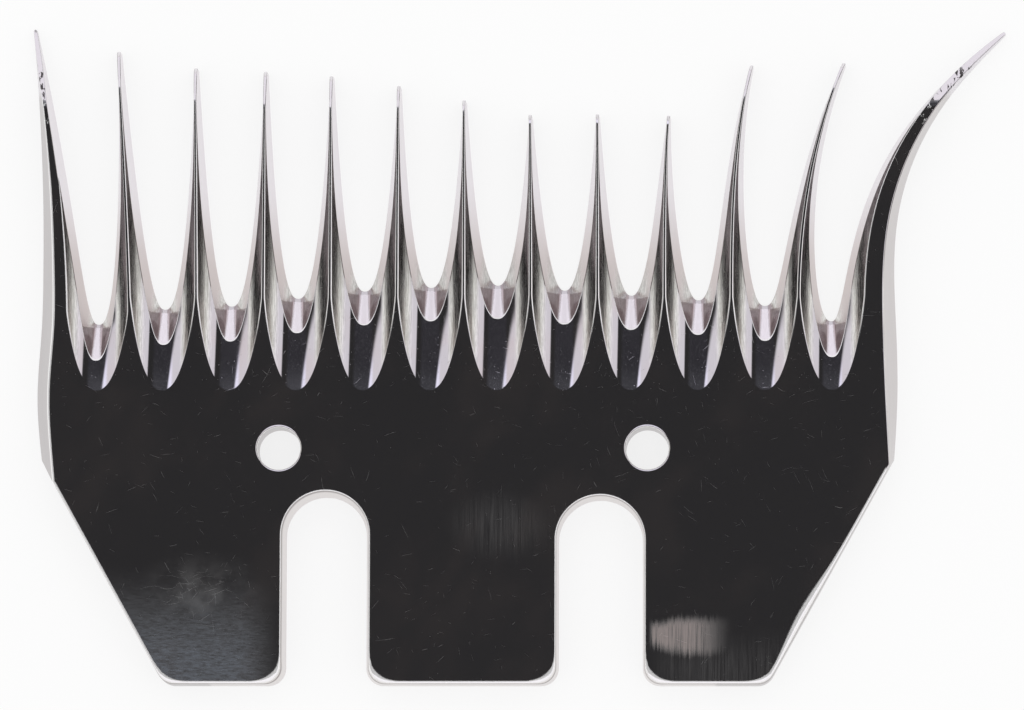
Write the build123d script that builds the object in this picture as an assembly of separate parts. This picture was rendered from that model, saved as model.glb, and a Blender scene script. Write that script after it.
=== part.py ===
from build123d import *
import os
from math import hypot, radians, sin, tan

# Bottom blade of a sheep-shearing handpiece: a comb of hardened tool steel, ground and
# polished from one forging.
# Frame: X across the comb, Y towards the tooth tips, Z up. The ground face that the cutter
# runs on lies at z = 0 and the fluted skin face at z = THICKNESS. The origin is midway
# between the two round holes, on the ground face. All lengths are in millimetres.

# Plate
THICKNESS = 3.5
REAR = -22.65  # rear edge of the three lugs
REAR_WIDTH = 57.9  # across the outer lugs at the rear edge
SHOULDER = -0.85  # where the sides turn into the rear diagonals
SHOULDER_WIDTH = 82.2  # across the shoulders, on the ground face
PLATE_OFFSET = 0.3  # middle of the plate, from the middle of the holes
# How far the left and right side lean in over the thickness, at shoulder, swell and root
SIDE_DRAFTS = ((1.15, 1.28, 1.33), (0.5, 1.12, 1.25))
SIDE_DRAFT_POWERS = (0.8, 1.5)  # how fast that fades as the outer teeth thin
SIDE_SWELLS = (0.35, 0.1)  # how far the two sides swell out below the teeth
SIDE_SWELL_REACH = 5.0
LUG_CORNER = 1.7
REAR_ROUNDING = 0.4
DIAGONAL_ROUNDING = 0.35

# Round holes and clamping slots
HOLE_SPACING = 35.4
HOLE_DIAMETER = 4.1
HOLE_EDGE_BREAK = 0.2
SLOT_SPACING = 26.4
SLOT_WIDTHS = (8.45, 8.53)  # left and right, on the skin face
SLOT_TOPS = (-4.1, -4.53)
SLOT_DRAFT_DEGREES = (6, 3.8)
SLOT_EDGE_BREAK = 0.12

# Teeth, one entry for each from left to right
TOOTH_PITCH = 6.44
TOOTH_OFFSET = 0.01  # root of the middle tooth, from the middle of the holes
TIP_REACHES = (41.2, 38.95, 37.3, 36.95, 36.5, 35.5, 34.05, 32.6, 32.65, 32.5, 37.45, 37.65, 40.7)
TIP_LEANS = (-3.2, -1.4, -0.33, 0.0, -0.05, 0.05, -0.05, -0.1, -0.05, 0.4, 2.0, 4.5, 13.7)
LEAN_POWERS = (1.75, 1.3, 1.3, 2, 2, 2, 2, 2, 2, 4, 3.1, 2.35, 2.7)  # how late each tooth bends
ROOT_REACH = 12.0  # where the teeth start to lean
TIP_RADIUS = 0.2
# How late each tooth thins towards its tip
WALL_POWERS = (0.42, 0.42, 0.42, 0.41, 0.42, 0.42, 0.45, 0.48, 0.47, 0.48, 0.4, 0.39, 0.5)
EDGE_WIDTHS = (2.3, 2.97)  # from each outer tooth's ridge to its outer side, at the root
EDGE_POWERS = (1.25, 1.32)  # how late the two outer sides thin towards the tip

# Throats between the teeth, one entry for each from left to right
THROAT_REACHES = (12.35, 13.8, 14.1, 14.85, 15.55, 15.9, 16.1, 15.6, 15.1, 14.65, 14.1, 12.6)
CUTTING_LAND = 0.25  # upright band above the ground face
CUP_RUN = 1.97  # length of the cup's ramp for each unit of height, at the longest throat
CUP_RISE = 0.6  # how far below the skin face the cup's walls have opened to the ridges
CUP_RIDGE_HALF_WIDTH = 0.13  # what the cup's walls leave there beside each ridge
CUP_MOUTH_POWER = 0.37  # how blunt the cup's end is there

# Flutes, ground between the ridges by a wheel that sinks in and then runs level
FLUTE_START = 5.5
FLUTE_SLOPE = 0.28
FLUTE_FLAT = 0.2
FLUTE_WHEEL_RADIUS = 52.0
FLUTE_BOTTOM_RADIUS = 2.6  # of the dished bottom, in its middle
FLUTE_SECTIONS = 9  # over the part where the wheel sinks in
RIDGE_HALF_WIDTH = 0.1
LEFT_RIDGE_HALF_WIDTH = 0.4  # on the leftmost tooth

# Bevel of the skin face down to each tip, one start for each tooth
BEVEL_STARTS = (33.5, 34.9, 33.7, 33.0, 32.9, 32.8, 32.6, 31.4, 31.4, 31.3, 33.9, 34.5, 33.3)
BEVEL_SLOPE = 0.38
NOSE_LENGTH = 1.0
NOSE_HEIGHT = 0.65
BEVEL_HALF_WIDTH = 2.6  # beyond the leaning ridge on each side

# Cutting solids
CLEAR = 1.0  # how far they run past the faces that they open
SIDE_RUN_OUT = 4.0  # how far the sides' draft carries on past the shoulders
SHARES = (0.005, 0.03, 0.1, 0.25, 0.45, 0.7, 1.0)  # of the way along a wall of a gap

TOOTH_COUNT = len(TIP_REACHES)
LAST = TOOTH_COUNT - 1


def root(tooth):
    """Place of a tooth's ridge across the comb, at its root."""
    return TOOTH_OFFSET + (tooth - LAST / 2) * TOOTH_PITCH


def ridge(tooth, y):
    """Place of a tooth's ridge across the comb, at y."""
    rise = max(0.0, (y - ROOT_REACH) / (TIP_REACHES[tooth] - ROOT_REACH))
    return root(tooth) + TIP_LEANS[tooth] * rise ** LEAN_POWERS[tooth]


def heading(tooth, y):
    """Unit vector along a tooth's ridge, at y."""
    step = 0.01
    slope = (ridge(tooth, y + step) - ridge(tooth, y - step)) / (2 * step)
    return (slope / hypot(slope, 1), 1 / hypot(slope, 1))


def beside(tooth, y, offset):
    """Point offset from a tooth's ridge at y and square to it, to the right if positive."""
    along = heading(tooth, y)
    return (ridge(tooth, y) + offset * along[1], y - offset * along[0])


def onward(point, direction, distance):
    """Point at a distance from another one."""
    return (point[0] + distance * direction[0], point[1] + distance * direction[1])


def tip_centre(tooth):
    """Place along Y of the centre of a tooth's rounded tip."""
    return TIP_REACHES[tooth] - TIP_RADIUS


def half_gap(gap):
    """Half of the distance between two ridges, at the throat between them."""
    y = THROAT_REACHES[gap]
    return (ridge(gap + 1, y) - ridge(gap, y)) / 2


def gap_wall(gap, tooth, rear_y, thin, fills):
    """Points along one wall of a gap, from its rear end to a tooth's tip.

    thin is what the tooth keeps beside its ridge at the tip, and fills are the shares of
    the half gap that it fills at each of SHARES of the way there.
    """
    side = 1 if tooth == gap else -1
    points = [(ridge(gap, THROAT_REACHES[gap]) + half_gap(gap), rear_y)]
    for share, fill in zip(SHARES, fills):
        y = rear_y + share * (tip_centre(tooth) - rear_y)
        thick = thin + (half_gap(gap) - thin) * fill
        points.append(beside(tooth, y, side * thick))
    return points


def ground_fills(tooth):
    """How a tooth fills a half gap on the ground face: all at the throat, none at the tip."""
    return [1 - share ** WALL_POWERS[tooth] for share in SHARES]


def mouth_fills():
    """How a tooth fills a half gap near the skin face: the cup is blunt, then soon open."""
    return [(1 - share) * (1 - share**CUP_MOUTH_POWER) for share in SHARES]


def smooth_edge(points, start, end):
    """Spline through the points that starts and ends along two directions."""
    return Spline(*points, tangents=[start, end], tangent_scalars=[1, 1])


def ground_wall(gap, tooth):
    """Points along one wall of a gap on the ground face."""
    return gap_wall(gap, tooth, THROAT_REACHES[gap], TIP_RADIUS, ground_fills(tooth))


def outer_side(tooth, lean_in=0.0):
    """Points along the outer side of an outer tooth, from the shoulder to the tip.

    lean_in is the share of the side's draft by which they stand in from the ground face.
    """
    side = 1 if tooth else -1
    which = 1 if tooth else 0
    width = EDGE_WIDTHS[which]
    at_shoulder, at_swell, at_root = (lean_in * draft for draft in SIDE_DRAFTS[which])
    shoulder_x = PLATE_OFFSET + side * (SHOULDER_WIDTH / 2 - at_shoulder)
    swell_x = root(tooth) + side * (width + SIDE_SWELLS[which] - at_swell)
    points = [(shoulder_x, SHOULDER), (swell_x, SIDE_SWELL_REACH)]
    for share in (0.0, 0.2, 0.4, 0.6, 0.8, 1.0):
        y = ROOT_REACH + share * (tip_centre(tooth) - ROOT_REACH)
        thick = TIP_RADIUS + (width - TIP_RADIUS) * (1 - share ** EDGE_POWERS[which])
        inset = at_root * (thick / width) ** SIDE_DRAFT_POWERS[which]
        points.append(beside(tooth, y, side * (thick - inset)))
    return points


def planform():
    """Outline of the comb on the ground face: sides, tips, gaps and rear edge."""
    left = outer_side(0)
    right = outer_side(LAST)
    edges = [Spline(*left)]
    for tooth in range(TOOTH_COUNT):
        y = tip_centre(tooth)
        along = heading(tooth, y)
        start = left[-1] if tooth == 0 else ground_wall(tooth - 1, tooth)[-1]
        tip = onward((ridge(tooth, y), y), along, TIP_RADIUS)
        end = right[-1] if tooth == LAST else ground_wall(tooth, tooth)[-1]
        edges.append(ThreePointArc(start, tip, end))
        if tooth < LAST:
            next_along = heading(tooth + 1, tip_centre(tooth + 1))
            edges.append(smooth_edge(ground_wall(tooth, tooth), (-1, 0), along))
            edges.append(smooth_edge(ground_wall(tooth, tooth + 1), (1, 0), next_along))
    edges.append(Spline(*right))
    edges += Polyline(right[0], rear_corner(1), rear_corner(-1), left[0]).edges()
    return make_face(edges)


def rear_corner(side):
    """Outer corner of an outer lug, -1 for the left one and 1 for the right one."""
    return (PLATE_OFFSET + side * REAR_WIDTH / 2, REAR)


def shoulder(side):
    """Shoulder of the plate on the ground face."""
    return (PLATE_OFFSET + side * SHOULDER_WIDTH / 2, SHOULDER)


def side_cutter(tooth):
    """Solid that leans one side of the comb in towards the skin face, above the land."""
    ground = outer_side(tooth)
    beyond_y = ground[-1][1] + 4 * CLEAR
    away_x = (1 if tooth else -1) * (max(abs(x) for x, y in ground) + 4 * CLEAR)
    sections = []
    for z in (-CLEAR, THICKNESS + CLEAR):
        points = outer_side(tooth, (z - CUTTING_LAND) / (THICKNESS - CUTTING_LAND))
        slant = (points[1][0] - points[0][0]) / (points[1][1] - points[0][1])
        below = onward(points[0], (-slant, -1), SIDE_RUN_OUT)
        beyond = onward(points[-1], heading(tooth, tip_centre(tooth)), 2 * CLEAR)
        rest = Polyline(beyond, (away_x, beyond_y), (away_x, below[1]), below)
        sections.append(Pos(0, 0, z) * make_face([Spline(below, *points, beyond), *rest.edges()]))
    return loft(sections, ruled=True)


def slot_cutter(side):
    """Solid for a clamping slot, open at the rear edge and wider towards the skin face."""
    radius = SLOT_WIDTHS[side] / 2 + CLEAR * tan(radians(SLOT_DRAFT_DEGREES[side]))
    x = (side - 0.5) * SLOT_SPACING
    head_y = SLOT_TOPS[side] - SLOT_WIDTHS[side] / 2
    rear_y = REAR - 2 * CLEAR
    outline = Pos(x, (head_y + rear_y) / 2) * Rectangle(2 * radius, head_y - rear_y)
    outline += Pos(x, head_y) * Circle(radius)
    high = THICKNESS + CLEAR
    return extrude(Pos(0, 0, high) * outline, -high - CLEAR, taper=SLOT_DRAFT_DEGREES[side])


def slot_edges(solid):
    """Edges of the clamping slots on the skin face."""
    edges = solid.edges().filter_by(lambda e: e.bounding_box().min.Z > THICKNESS - 0.01)
    reach = (SLOT_SPACING + max(SLOT_WIDTHS)) / 2 + CLEAR
    return edges.filter_by(lambda e: abs(e.center().X) < reach and REAR + 0.01 < e.center().Y < 0)


def lug_corners(solid):
    """Upright edges where the rear edge of each lug turns into a slot."""
    edges = solid.edges().filter_by(lambda e: abs(e.center().Y - REAR) < 0.2)
    edges = edges.filter_by(lambda e: e.bounding_box().size.Z > THICKNESS / 2)
    return edges.sort_by(Axis.X)[1:-1]


def lug_end_cutter(side):
    """Upright solid that rounds the outer corner of an outer lug."""
    corner = Vector(*rear_corner(side))
    inward = Vector(-side, 0, 0)
    forward = (Vector(*shoulder(side)) - corner).normalized()
    middle = (inward + forward).normalized()
    half_angle = radians(inward.get_angle(forward) / 2)
    reach = LUG_CORNER / tan(half_angle)
    start = corner + inward * reach
    end = corner + forward * reach
    bulge = corner + middle * LUG_CORNER * (1 / sin(half_angle) - 1)
    out = reach + CLEAR
    rest = Polyline(
        end,
        end + forward.cross(Vector(0, 0, side)) * out,
        corner - middle * 2 * out,
        start - Vector(0, out, 0),
        start,
    )
    outline = make_face([ThreePointArc(start, bulge, end), *rest.edges()])
    return extrude(Pos(0, 0, -CLEAR) * outline, THICKNESS + 2 * CLEAR)


def rounding(start, end, radius):
    """Solid that rounds a straight edge of the skin face, with the comb on its left."""
    run = Vector(end) - Vector(start)
    along = run.normalized()
    outward = along.cross(Vector(0, 0, 1))
    origin = Vector(start) + Vector(0, 0, THICKNESS) - along * CLEAR
    bulge = radius / 3
    arc = ThreePointArc((-radius, 0), (-bulge, -bulge), (0, -radius))
    far = radius + CLEAR
    rest = Polyline((0, -radius), (far, -radius), (far, far), (-radius, far), (-radius, 0))
    profile = Plane(origin, x_dir=outward, z_dir=-along) * make_face([arc, *rest.edges()])
    return extrude(profile, -run.length - 2 * CLEAR)


def plate():
    """The comb before its teeth are shaped: sides, slots, roundings and holes."""
    body = extrude(planform(), THICKNESS)
    body -= [slot_cutter(side) for side in (0, 1)]
    body = fillet(lug_corners(body), LUG_CORNER)
    body = fillet(slot_edges(body), SLOT_EDGE_BREAK)
    body -= [side_cutter(tooth) for tooth in (0, LAST)]
    body -= rounding(rear_corner(-1), rear_corner(1), REAR_ROUNDING)
    body -= rounding(shoulder(-1), rear_corner(-1), DIAGONAL_ROUNDING)
    body -= rounding(rear_corner(1), shoulder(1), DIAGONAL_ROUNDING)
    body -= [lug_end_cutter(side) for side in (-1, 1)]
    radius = HOLE_DIAMETER / 2
    height = HOLE_EDGE_BREAK + CLEAR
    drill = Cylinder(radius, 4 * THICKNESS)
    flare = Pos(0, 0, THICKNESS + CLEAR - height / 2) * Cone(radius, radius + height, height)
    for side in (-1, 1):
        body -= [Pos(side * HOLE_SPACING / 2, 0) * tool for tool in (drill, flare)]
    return body


def cup_cutter(gap):
    """Solid that flares the walls of a gap and ramps its throat up to the flute."""
    reach = THROAT_REACHES[gap]
    run = CUP_RUN * reach / max(THROAT_REACHES)
    opened = THICKNESS - CUP_RISE
    sections = []
    for z, thin in ((-CLEAR / 2, TIP_RADIUS), (opened, CUP_RIDGE_HALF_WIDTH)):
        rear_y = reach - (z - CUTTING_LAND) * run
        edges = []
        ends = []
        for tooth, start in ((gap, (-1, 0)), (gap + 1, (1, 0))):
            fills = ground_fills(tooth) if z < 0 else mouth_fills()
            points = gap_wall(gap, tooth, rear_y, thin, fills)
            along = heading(tooth, tip_centre(tooth))
            points.append(onward(points[-1], along, 2 * CLEAR))
            ends.append(points[-1])
            edges.append(smooth_edge(points, start, along))
        edges.insert(1, Line(*ends))
        sections.append(Pos(0, 0, z) * make_face(edges))
    return loft(sections, ruled=True)


def flute_floor(y):
    """Height of the middle of a flute at y."""
    ground = min(y - FLUTE_START, FLUTE_SLOPE * FLUTE_WHEEL_RADIUS)
    return THICKNESS - FLUTE_SLOPE * ground + ground**2 / (2 * FLUTE_WHEEL_RADIUS)


def flute_section(gap, y):
    """Section of a flute across the comb at y: a dished channel between two ridges."""
    left_keep = LEFT_RIDGE_HALF_WIDTH if gap == 0 else RIDGE_HALF_WIDTH
    dish = (TOOTH_PITCH - left_keep - RIDGE_HALF_WIDTH - FLUTE_FLAT) / 2
    left = ridge(gap, y) + left_keep
    right = ridge(gap + 1, y) - RIDGE_HALF_WIDTH
    floor = flute_floor(y)
    brim = floor + dish**2 / (2 * FLUTE_BOTTOM_RADIUS)
    high = THICKNESS + brim - floor + CLEAR
    outline = [
        Line((left, high), (left, brim)),
        Bezier((left, brim), (left + dish / 2, floor), (left + dish, floor)),
        Line((left + dish, floor), (right - dish, floor)),
        Bezier((right - dish, floor), (right - dish / 2, floor), (right, brim)),
        Line((right, brim), (right, high)),
        Line((right, high), (left, high)),
    ]
    return Plane((0, y, 0), x_dir=(1, 0, 0), z_dir=(0, -1, 0)) * make_face(outline)


def flute_cutter(gap):
    """Solid of the flute that the wheel grinds between two ridges."""
    start = FLUTE_START - CLEAR
    level = FLUTE_START + FLUTE_SLOPE * FLUTE_WHEEL_RADIUS
    end = max(TIP_REACHES[gap : gap + 2]) + CLEAR
    step = (level - start) / (FLUTE_SECTIONS - 1)
    count = FLUTE_SECTIONS + round((end - level) / step)
    step = (end - start) / (count - 1)
    return loft([flute_section(gap, start + step * k) for k in range(count)])


def bevel_cutter(tooth):
    """Solid that bevels a tooth's skin face down to its tip and rounds its nose."""
    tip = TIP_REACHES[tooth]
    start = BEVEL_STARTS[tooth]
    nose = tip - NOSE_LENGTH
    nose_top = THICKNESS - BEVEL_SLOPE * (nose - start)
    brow = nose_top - BEVEL_SLOPE * NOSE_LENGTH
    high = THICKNESS + CLEAR
    front = tip + CLEAR
    edges = [
        Line((start, THICKNESS), (nose, nose_top)),
        Bezier((nose, nose_top), (tip, max(brow, NOSE_HEIGHT)), (tip, NOSE_HEIGHT)),
        *Polyline((tip, NOSE_HEIGHT), (front, NOSE_HEIGHT), (front, high), (start, high)).edges(),
        Line((start, high), (start, THICKNESS)),
    ]
    low_x = min(ridge(tooth, start), ridge(tooth, tip)) - BEVEL_HALF_WIDTH
    high_x = max(ridge(tooth, start), ridge(tooth, tip)) + BEVEL_HALF_WIDTH
    profile = Plane((low_x, 0, 0), x_dir=(0, 1, 0), z_dir=(1, 0, 0)) * make_face(edges)
    return extrude(profile, high_x - low_x)


def comb():
    """The whole comb."""
    body = plate()
    for gap in range(LAST):
        body -= cup_cutter(gap)
        body -= flute_cutter(gap)
    body -= [bevel_cutter(tooth) for tooth in range(TOOTH_COUNT)]
    return body


os.makedirs("parts", exist_ok=True)
shearing_comb = comb()
export_step(shearing_comb, "parts/shearing_comb.step")
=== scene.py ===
from math import cos, radians, sin, tan
from types import SimpleNamespace

import bpy
import numpy as np
from mathutils import Matrix, Vector
from mathutils.geometry import delaunay_2d_cdt


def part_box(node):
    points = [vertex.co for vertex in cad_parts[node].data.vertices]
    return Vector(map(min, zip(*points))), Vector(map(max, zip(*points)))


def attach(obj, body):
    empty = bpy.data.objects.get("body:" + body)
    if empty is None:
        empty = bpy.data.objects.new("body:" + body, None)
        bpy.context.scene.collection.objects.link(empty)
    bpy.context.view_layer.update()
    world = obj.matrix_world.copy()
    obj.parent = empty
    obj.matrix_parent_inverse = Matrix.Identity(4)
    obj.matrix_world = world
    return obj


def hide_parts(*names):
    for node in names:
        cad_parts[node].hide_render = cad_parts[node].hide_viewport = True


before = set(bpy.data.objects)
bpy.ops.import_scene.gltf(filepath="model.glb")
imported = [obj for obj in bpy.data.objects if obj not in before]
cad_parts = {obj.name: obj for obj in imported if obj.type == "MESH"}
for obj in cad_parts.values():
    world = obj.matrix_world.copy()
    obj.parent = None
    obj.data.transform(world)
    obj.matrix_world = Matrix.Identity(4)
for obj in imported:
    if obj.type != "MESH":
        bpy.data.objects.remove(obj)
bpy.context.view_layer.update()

MM = 0.001
SIDES = (-1, 1)  # left and right across the comb

# The comb's shape in the CAD frame, in millimetres. Pairs are for the left and the right,
# and longer rows have one entry for each tooth or gap from left to right.

# Plate
THICKNESS = round(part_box("shearing_comb")[1].z / MM, 3)
REAR = -22.65  # rear edge of the three lugs
REAR_WIDTH = 57.9  # across the outer lugs at the rear edge
SHOULDER = -0.85  # where the sides turn into the rear diagonals
SHOULDER_WIDTH = 82.2  # across the shoulders, on the ground face
PLATE_OFFSET = 0.3  # middle of the plate, from the middle of the holes
# How far the two sides lean in over the thickness, at shoulder, swell and root
SIDE_DRAFTS = ((1.15, 1.28, 1.33), (0.5, 1.12, 1.25))
SIDE_DRAFT_POWERS = (0.8, 1.5)  # how fast that fades as the outer teeth thin
SIDE_SWELLS = (0.35, 0.1)  # how far the two sides swell out below the teeth
SIDE_SWELL_REACH = 5.0
SHOULDER_CORNER = 0.5
LUG_CORNER = 1.7

# Round holes and clamping slots
HOLE_X = 17.7
HOLE_RADIUS = 2.05
SLOT_X = 13.2
SLOT_HALVES = (4.225, 4.265)  # half the slots' widths, on the skin face
SLOT_TOPS = (-4.1, -4.53)
SLOT_DRAFT_DEGREES = (6, 3.8)
SLOT_LEANS = [THICKNESS * tan(radians(degrees)) for degrees in SLOT_DRAFT_DEGREES]

# Teeth
PITCH = 6.44
TOOTH_OFFSET = 0.01  # root of the middle tooth, from the middle of the holes
TIPS = (41.2, 38.95, 37.3, 36.95, 36.5, 35.5, 34.05, 32.6, 32.65, 32.5, 37.45, 37.65, 40.7)
LEANS = (-3.2, -1.4, -0.33, 0.0, -0.05, 0.05, -0.05, -0.1, -0.05, 0.4, 2.0, 4.5, 13.7)
LEAN_POWERS = (1.75, 1.3, 1.3, 2, 2, 2, 2, 2, 2, 4, 3.1, 2.35, 2.7)  # how late each bends
# How late each tooth thins towards its tip
WALL_POWERS = (0.42, 0.42, 0.42, 0.41, 0.42, 0.42, 0.45, 0.48, 0.47, 0.48, 0.4, 0.39, 0.5)
ROOT = 12.0  # where the teeth start to lean
TIP_RADIUS = 0.2
EDGE_WIDTHS = (2.3, 2.97)  # from each outer tooth's ridge to its outer side, at the root
EDGE_POWERS = (1.25, 1.32)  # how late the two outer sides thin towards the tip
TEETH = len(TIPS)
LAST = TEETH - 1

# Throats between the teeth
THROATS = (12.35, 13.8, 14.1, 14.85, 15.55, 15.9, 16.1, 15.6, 15.1, 14.65, 14.1, 12.6)
LAND = 0.25  # upright band above the ground face
CUP_RUN = 1.97  # length of the cup's ramp for each unit of height, at the longest throat
CUP_LOW = -0.5  # height at which the walls would have their full thickness
CUP_HIGH = 2.9  # height at which they have opened to the ridges
CUP_KEEP = 0.13  # what they leave there beside each ridge
CUP_MOUTH_POWER = 0.37  # how blunt the cup's end is there
CUP_STEP = 0.35  # how far behind the throat's edge the cup's bowl starts

# Flutes, ground between the ridges by a wheel that sinks in and then runs level
FLUTE_START = 5.5
FLUTE_SLOPE = 0.28
FLUTE_FLAT = 0.2
WHEEL_RADIUS = 52.0
BOTTOM_RADIUS = 2.6  # of the dished bottom, in its middle
RIDGE_KEEP = 0.1  # half the width of a ridge
LEFT_RIDGE_KEEP = 0.4  # on the leftmost tooth

# Bevel of the skin face down to each tip
BEVEL_STARTS = (33.5, 34.9, 33.7, 33.0, 32.9, 32.8, 32.6, 31.4, 31.4, 31.3, 33.9, 34.5, 33.3)
BEVEL_SLOPE = 0.38
NOSE_LENGTH = 1.0
NOSE_HEIGHT = 0.65

# Softened edges
SOFT = 0.075  # half the width of an edge between two surfaces
RIDGE_ROUNDING = 0.15
CREASE = 0.35  # how far the bevel's shading blends into the skin face
ROUNDINGS = {"side": 0.22, "diagonal": 0.3, "rear": 0.3, "slot": 0.13}  # widths round the rim
ROUNDING_DEPTH = 0.9  # of a rounded edge, for each unit of its width
ROUNDED_SHARE = 0.22  # of an outer tooth's width, at most
CORNER_SWEEPS = (4.0, 3.0)  # radius of the flat face's corners, at the outer ends and the slots
DISH = (0.6, -16.0, 4.0)  # extra rounding of the right diagonal: its size, place and reach

# Rows of points
ALONG = 62  # along a tooth, closer together at its throat, before the last few at its tip
SHARES = np.concatenate([np.linspace(0, 1, ALONG) ** 2.2 * 0.955, [0.968, 0.979, 0.988, 0.994, 1]])
CAP = np.radians([22.5, 45, 67.5, 90])  # round half of a tip
SHARES_CAPPED = np.concatenate([SHARES, np.ones(len(CAP))])
TURNS = np.concatenate([np.zeros(len(SHARES)), CAP])
FOOT = 0.04  # height of the first one above the ground face
WALL_HEIGHTS = (0, FOOT, LAND - 0.02, LAND + 0.02)  # of the first ones up a gap's wall
WALL_SHARES = (0.12, 0.25, 0.4, 0.55, 0.7, 0.83, 0.95, 1)  # of the way from there to its top
FLUTE_COLUMNS = 12  # across half a flute, between its soft edges
TOPS_START = 0.3  # how far behind the flutes' start the teeth's tops begin
EDGE_START = 4  # column at which an outer wall's rounded edge starts
LINE_POINTS = {"diagonal": 30, "rear": 30, "slot": 16}  # inside a straight stretch of the rim
HOLE_HEIGHTS = (0, 0.05, 1.6)  # up a hole's wall, below its rounded edge
# The rounded edge of a hole: how far out from its radius and how far below the skin face
HOLE_EDGE = ((0, 0.4), (0.01, 0.25), (0.05, 0.13), (0.12, 0.04), (0.22, 0), (0.3, 0))

JOIN = 2e-4  # points that are this close become one
NARROW = 1e-9  # the least width that counts in an outer tooth
TINY = 1e-12  # the least length that anything else is divided by
FAR = 50.0  # how far in front of the cups all other surfaces count as


def ridge(tooth, y):
    """Place of a tooth's ridge across the comb."""
    rise = np.maximum(0, (y - ROOT) / (TIPS[tooth] - ROOT))
    return (tooth - LAST / 2) * PITCH + TOOTH_OFFSET + LEANS[tooth] * rise ** LEAN_POWERS[tooth]


def heading(tooth, y):
    """Unit vector along a tooth's ridge, as two arrays."""
    step = 0.01
    slope = (ridge(tooth, y + step) - ridge(tooth, y - step)) / (2 * step)
    length = np.hypot(slope, 1)
    return slope / length, 1 / length


def gap_centre(gap, y):
    """Middle of a gap, between the ridges beside it."""
    return (ridge(gap, y) + ridge(gap + 1, y)) / 2


def floor_height(y):
    """Height of a flute's floor."""
    ground = np.minimum(y - FLUTE_START, FLUTE_SLOPE * WHEEL_RADIUS)
    return THICKNESS - FLUTE_SLOPE * ground + ground**2 / (2 * WHEEL_RADIUS)


def flute_sides(gap, y):
    """Width of a flute's dished part and the places of its two sides."""
    left_keep = LEFT_RIDGE_KEEP if gap == 0 else RIDGE_KEEP
    dish = (PITCH - left_keep - RIDGE_KEEP - FLUTE_FLAT) / 2
    return dish, ridge(gap, y) + left_keep, ridge(gap + 1, y) - RIDGE_KEEP


def flute(gap, x, y):
    """Height of a flute's surface, which is out of reach beyond its sides."""
    dish, left, right = flute_sides(gap, y)
    off = np.maximum(np.maximum(left + dish - x, x - (right - dish)), 0)
    steep = np.maximum(off - dish, 0) * 1e3
    return floor_height(y) + off**2 / (2 * BOTTOM_RADIUS) + steep


def flute_edge(gap, side, y, top):
    """Place across the comb where a flute's surface reaches a height."""
    dish, left, right = flute_sides(gap, y)
    reach = np.sqrt(2 * BOTTOM_RADIUS * np.clip(top - floor_height(y), 0, None))
    reach = np.minimum(reach, dish)
    return right - dish + reach if side else left + dish - reach


def crown(tooth, y):
    """Height of a tooth's top: the skin face, then the bevel and the nose."""
    start, nose = BEVEL_STARTS[tooth], TIPS[tooth] - NOSE_LENGTH
    bevel = THICKNESS - BEVEL_SLOPE * (y - start)
    nose_top = THICKNESS - BEVEL_SLOPE * (nose - start)
    brow = max(nose_top - BEVEL_SLOPE * NOSE_LENGTH, NOSE_HEIGHT)
    t = 1 - np.sqrt(np.clip(1 - (y - nose) / NOSE_LENGTH, 0, 1))
    round_nose = (1 - t) ** 2 * nose_top + 2 * t * (1 - t) * brow + t**2 * NOSE_HEIGHT
    return np.where(y <= start, THICKNESS, np.where(y <= nose, bevel, round_nose))


def wall_point(gap, side, z):
    """Points of a gap's wall at heights z, one for each row from its throat round its tip."""
    tooth = gap + side
    sign = SIDES[1 - side]
    share, turn = SHARES_CAPPED, TURNS
    opened = (z - CUP_LOW) / (CUP_HIGH - CUP_LOW)
    run = CUP_RUN * THROATS[gap] / max(THROATS)
    rear = THROATS[gap] - np.maximum(z - LAND, 0) * run
    half = (ridge(gap + 1, rear) - ridge(gap, rear)) / 2
    low = 1 - share ** WALL_POWERS[tooth]
    high = (1 - share) * (1 - share**CUP_MOUTH_POWER)
    fill = low + (high - low) * opened
    thin = TIP_RADIUS + (CUP_KEEP - TIP_RADIUS) * opened
    thick = thin + (half - thin) * fill
    y = rear + share * (TIPS[tooth] - TIP_RADIUS - rear)
    ax, ay = heading(tooth, y)
    out = thick * np.cos(turn) * sign
    x = ridge(tooth, y) + out * ay + thick * np.sin(turn) * ax
    y = y - out * ax * (1 - fill**3) + thick * np.sin(turn) * ay
    return x, y


def first_crossing(under):
    """Lowest height at which under(z) is no longer negative, for each row of a wall."""
    rows = len(TURNS)
    heights = np.linspace(0, THICKNESS, 80)
    found = np.full(rows, THICKNESS)
    done = np.zeros(rows, bool)
    for z in heights:
        hit = (under(np.full(rows, z)) >= 0) & ~done
        found[hit] = z
        done |= hit
    high = found.copy()
    low = np.maximum(found - THICKNESS / (len(heights) - 1), 0)
    for _ in range(30):
        middle = (low + high) / 2
        above = under(middle) >= 0
        high = np.where(above, middle, high)
        low = np.where(above, low, middle)
    return high


def spline(points):
    """Smooth curve through points: a function of the share of its length."""
    points = np.asarray(points, float)
    t = np.concatenate([[0], np.cumsum(np.linalg.norm(np.diff(points, axis=0), axis=1))])
    h = np.diff(t)
    count = len(t)
    system = np.eye(count)
    right = np.zeros_like(points)
    for i in range(1, count - 1):
        system[i, i - 1 : i + 2] = (h[i - 1], 2 * (h[i - 1] + h[i]), h[i])
        right[i] = 6 * ((points[i + 1] - points[i]) / h[i] - (points[i] - points[i - 1]) / h[i - 1])
    bend = np.linalg.solve(system, right)

    def at(u):
        s = np.clip(np.asarray(u, float), 0, 1) * t[-1]
        i = np.clip(np.searchsorted(t, s, side="right") - 1, 0, count - 2)
        a = ((t[i + 1] - s) / h[i])[..., None]
        b = 1 - a
        k = (h[i] ** 2 / 6)[..., None]
        return a * points[i] + b * points[i + 1] + k * ((a**3 - a) * bend[i] + (b**3 - b) * bend[i + 1])

    return at


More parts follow.
